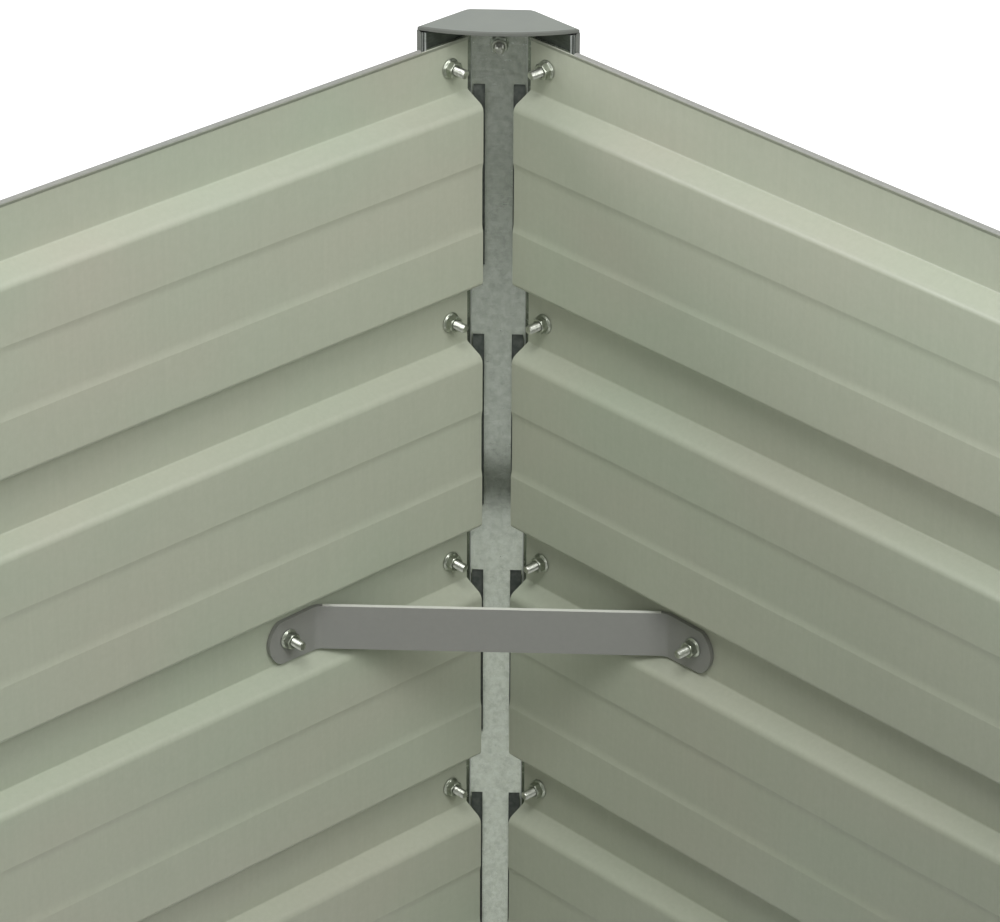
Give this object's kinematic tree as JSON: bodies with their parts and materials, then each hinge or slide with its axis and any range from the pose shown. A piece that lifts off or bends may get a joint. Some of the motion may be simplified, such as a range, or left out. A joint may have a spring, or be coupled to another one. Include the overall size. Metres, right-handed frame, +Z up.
{
  "type": "raised garden bed",
  "caption": "Open rectangular raised garden bed of ribbed steel wall panels bolted to chamfered corner posts, with post caps and a flat brace bar across each corner.",
  "frame": {"origin": "on the ground, under the middle of the bed", "axes": "+X along the bed's length, +Y across its width, +Z up"},
  "size_m": [1.2052, 0.8052, 0.62],
  "materials": {
    "panel_paint": "satin sage green powder coat on ribbed sheet",
    "galvanised_steel": "dull galvanised sheet with faint rolling marks",
    "cover_paint": "satin grey-green powder coat",
    "cap_grey": "matte moulded grey",
    "brace_paint": "satin mid grey powder coat",
    "zinc_fastener": "bright zinc plate"
  },
  "bodies": {
    "root": {"rear_panel": "panel_paint", "front_panel": "panel_paint", "right_panel": "panel_paint", "left_panel": "panel_paint", "inner_post_rear_right": "galvanised_steel", "inner_post_rear_left": "galvanised_steel", "inner_post_front_left": "galvanised_steel", "inner_post_front_right": "galvanised_steel", "outer_post_rear_right": "cover_paint", "outer_post_rear_left": "cover_paint", "outer_post_front_left": "cover_paint", "outer_post_front_right": "cover_paint", "post_cap_rear_right": "cap_grey", "post_cap_rear_left": "cap_grey", "post_cap_front_left": "cap_grey", "post_cap_front_right": "cap_grey", "corner_brace_rear_right": "brace_paint", "corner_brace_rear_left": "brace_paint", "corner_brace_front_left": "brace_paint", "corner_brace_front_right": "brace_paint", "cap_bolt_rear_right": "zinc_fastener", "cap_bolt_rear_left": "zinc_fastener", "cap_bolt_front_left": "zinc_fastener", "cap_bolt_front_right": "zinc_fastener", "cap_nut_rear_right": "zinc_fastener", "cap_nut_rear_left": "zinc_fastener", "cap_nut_front_left": "zinc_fastener", "cap_nut_front_right": "zinc_fastener", "brace_bolt_a_rear_right": "zinc_fastener", "brace_bolt_a_rear_left": "zinc_fastener", "brace_bolt_a_front_left": "zinc_fastener", "brace_bolt_a_front_right": "zinc_fastener", "brace_nut_a_rear_right": "zinc_fastener", "brace_nut_a_rear_left": "zinc_fastener", "brace_nut_a_front_left": "zinc_fastener", "brace_nut_a_front_right": "zinc_fastener", "brace_bolt_b_rear_right": "zinc_fastener", "brace_bolt_b_rear_left": "zinc_fastener", "brace_bolt_b_front_left": "zinc_fastener", "brace_bolt_b_front_right": "zinc_fastener", "brace_nut_b_rear_right": "zinc_fastener", "brace_nut_b_rear_left": "zinc_fastener", "brace_nut_b_front_left": "zinc_fastener", "brace_nut_b_front_right": "zinc_fastener"}
  },
  "joints": []
}
